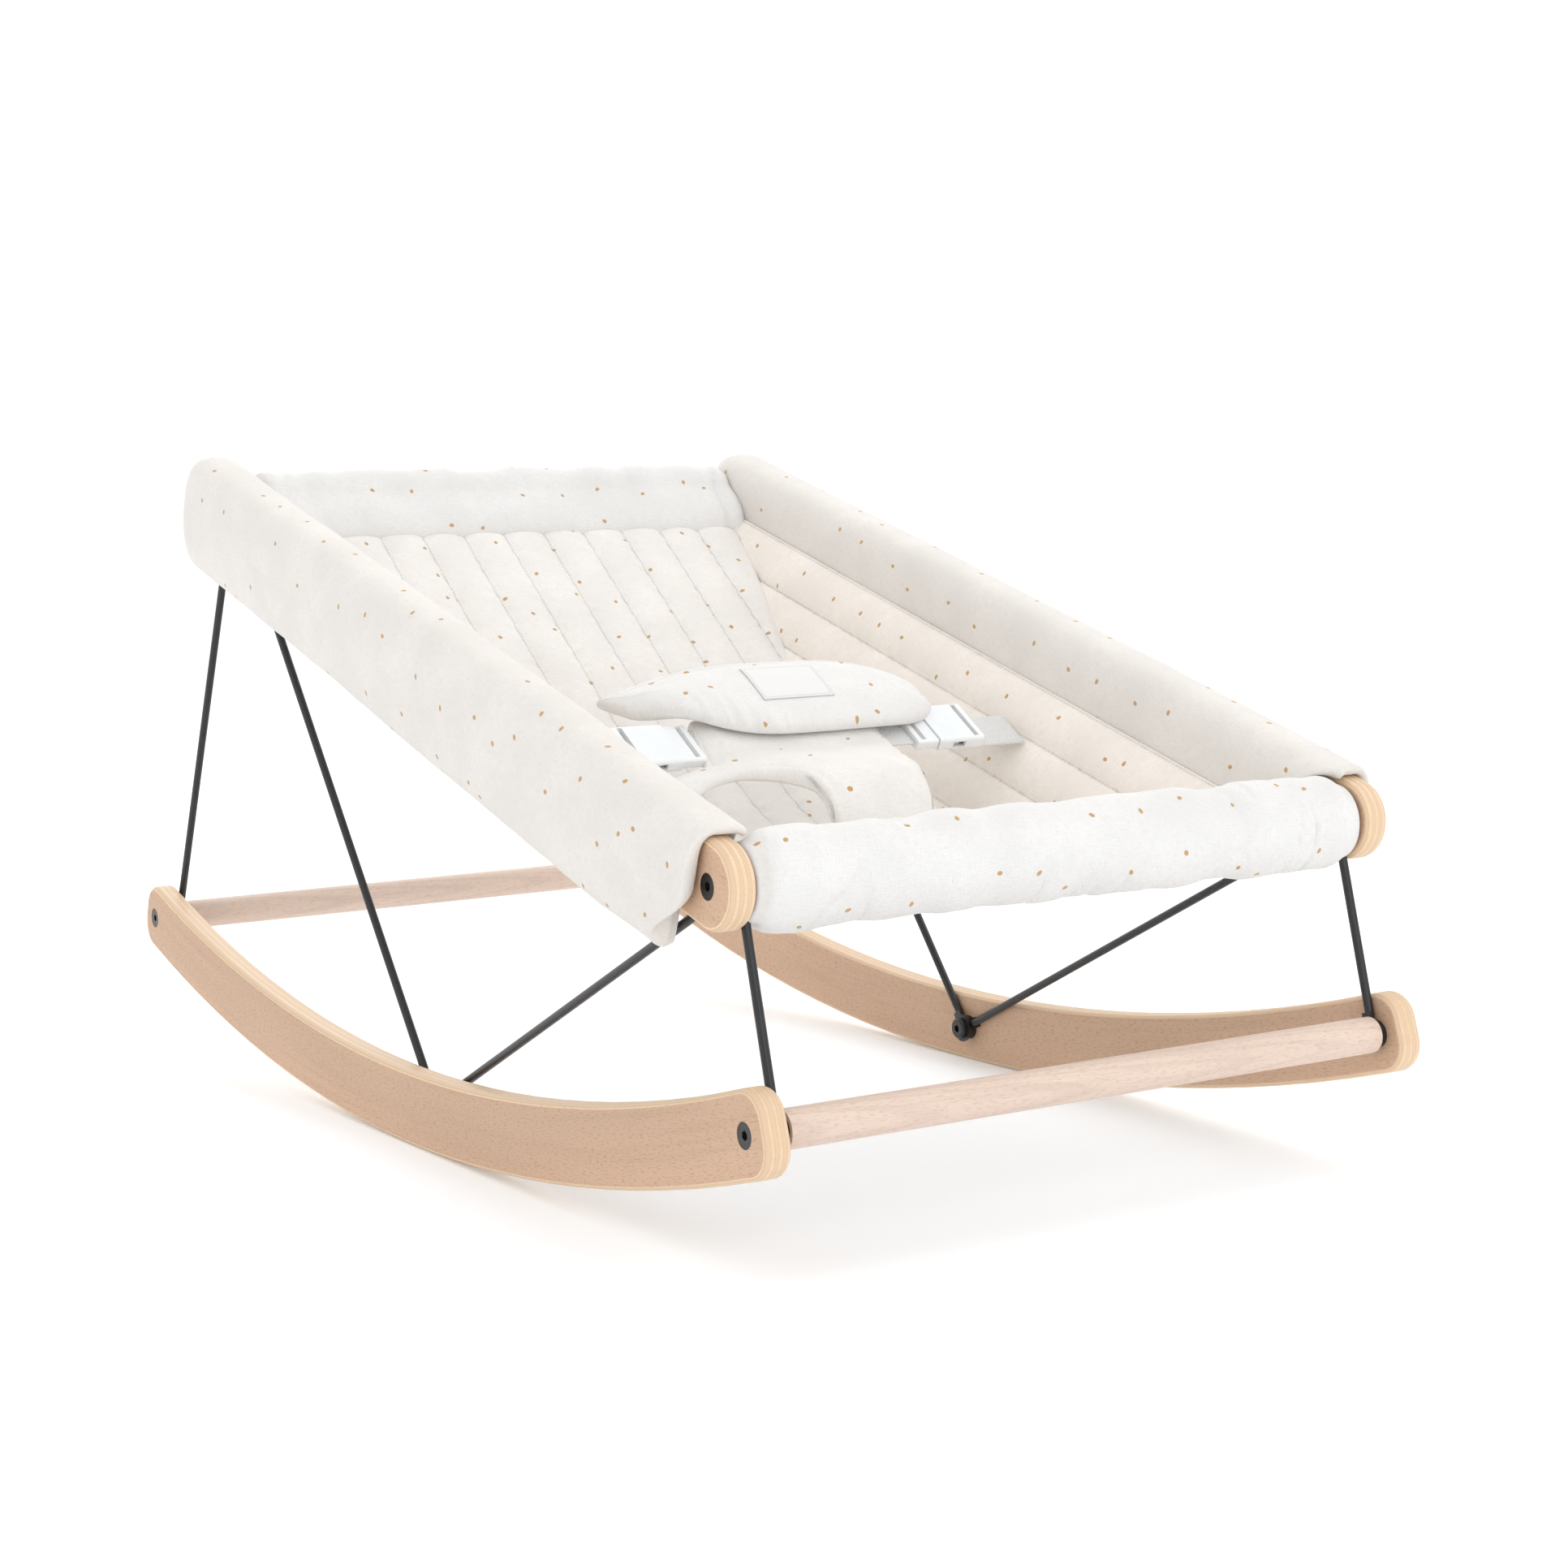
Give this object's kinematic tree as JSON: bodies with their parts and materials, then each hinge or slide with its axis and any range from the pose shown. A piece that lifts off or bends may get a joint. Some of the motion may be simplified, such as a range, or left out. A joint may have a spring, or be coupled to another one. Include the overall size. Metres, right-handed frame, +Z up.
{
  "type": "bouncer seat",
  "caption": "Rocking baby bouncer: beech plywood rockers, thin black steel rods and a padded quilted sling seat with a waist harness and side-release buckles.",
  "frame": {"origin": "on the floor under the middle of the rockers, half way between their ends and sides", "axes": "+Z up, +Y towards the head end, +X to the right of the seat seen from its foot end"},
  "size_m": [0.4, 0.7549, 0.3751],
  "materials": {
    "beech_plywood": "satin",
    "beech_dowel": "satin",
    "black_rod": "satin",
    "black_hardware": "satin",
    "brass": "satin",
    "dotted_cotton": "matte",
    "label_cloth": "matte",
    "webbing": "matte",
    "white_plastic": "satin"
  },
  "bodies": {
    "frame": {"back_panel": "dotted_cotton", "buckle_plug_left": "white_plastic", "buckle_plug_right": "white_plastic", "centre_bolts": "black_hardware", "centre_inserts": "brass", "centre_washers": "black_hardware", "crotch_piece": "dotted_cotton", "dowel_inserts": "brass", "eye_spacers": "black_hardware", "front_sleeve": "dotted_cotton", "label_patch": "label_cloth", "rail_bolts": "black_hardware", "rear_sleeve": "dotted_cotton", "rocker_bolts": "black_hardware", "rocker_dowel_front": "beech_dowel", "rocker_dowel_rear": "beech_dowel", "rocker_left": "beech_plywood", "rocker_right": "beech_plywood", "rod_front_left": "black_rod", "rod_front_right": "black_rod", "rod_mid_front_left": "black_rod", "rod_mid_front_right": "black_rod", "rod_mid_rear_left": "black_rod", "rod_mid_rear_right": "black_rod", "rod_rear_left": "black_rod", "rod_rear_right": "black_rod", "seat_dowel_front": "beech_dowel", "seat_dowel_rear": "beech_dowel", "seat_rail_left": "beech_plywood", "seat_rail_right": "beech_plywood", "side_panel_left": "dotted_cotton", "side_panel_right": "dotted_cotton", "side_sleeve_left": "dotted_cotton", "side_sleeve_right": "dotted_cotton", "waist_belt": "webbing", "waist_pad": "dotted_cotton", "waist_strap_left": "webbing", "waist_strap_right": "webbing"},
    "buckle_housing_left": {"buckle_housing_left": "white_plastic"},
    "latch_arm_front_left": {"latch_arm_front_left": "white_plastic"},
    "latch_arm_rear_left": {"latch_arm_rear_left": "white_plastic"},
    "buckle_housing_right": {"buckle_housing_right": "white_plastic"},
    "latch_arm_front_right": {"latch_arm_front_right": "white_plastic"},
    "latch_arm_rear_right": {"latch_arm_rear_right": "white_plastic"}
  },
  "joints": [
    {"name": "buckle_release_left", "type": "slide", "parent": "frame", "child": "buckle_housing_left", "axis": [-1, 0, 0], "range_m": [0, 0.028]},
    {"name": "latch_squeeze_front_left", "type": "hinge", "parent": "frame", "child": "latch_arm_front_left", "pos_m": [-0.08, -0.12314, 0.20416], "axis": [0, 0.5446, -0.8387], "range_deg": [0, 6], "stiffness_Nm_per_rad": 0.05},
    {"name": "latch_squeeze_rear_left", "type": "hinge", "parent": "frame", "child": "latch_arm_rear_left", "pos_m": [-0.08, -0.10486, 0.21604], "axis": [0, -0.5446, 0.8387], "range_deg": [0, 6], "stiffness_Nm_per_rad": 0.05},
    {"name": "buckle_release_right", "type": "slide", "parent": "frame", "child": "buckle_housing_right", "axis": [1, 0, 0], "range_m": [0, 0.028]},
    {"name": "latch_squeeze_front_right", "type": "hinge", "parent": "frame", "child": "latch_arm_front_right", "pos_m": [0.08, -0.12314, 0.20416], "axis": [0, -0.5446, 0.8387], "range_deg": [0, 6], "stiffness_Nm_per_rad": 0.05},
    {"name": "latch_squeeze_rear_right", "type": "hinge", "parent": "frame", "child": "latch_arm_rear_right", "pos_m": [0.08, -0.10486, 0.21604], "axis": [0, 0.5446, -0.8387], "range_deg": [0, 6], "stiffness_Nm_per_rad": 0.05}
  ],
  "couplings": [
    {"joint": "latch_squeeze_rear_left", "follows": "latch_squeeze_front_left", "ratio": 1},
    {"joint": "latch_squeeze_rear_right", "follows": "latch_squeeze_front_right", "ratio": 1}
  ]
}
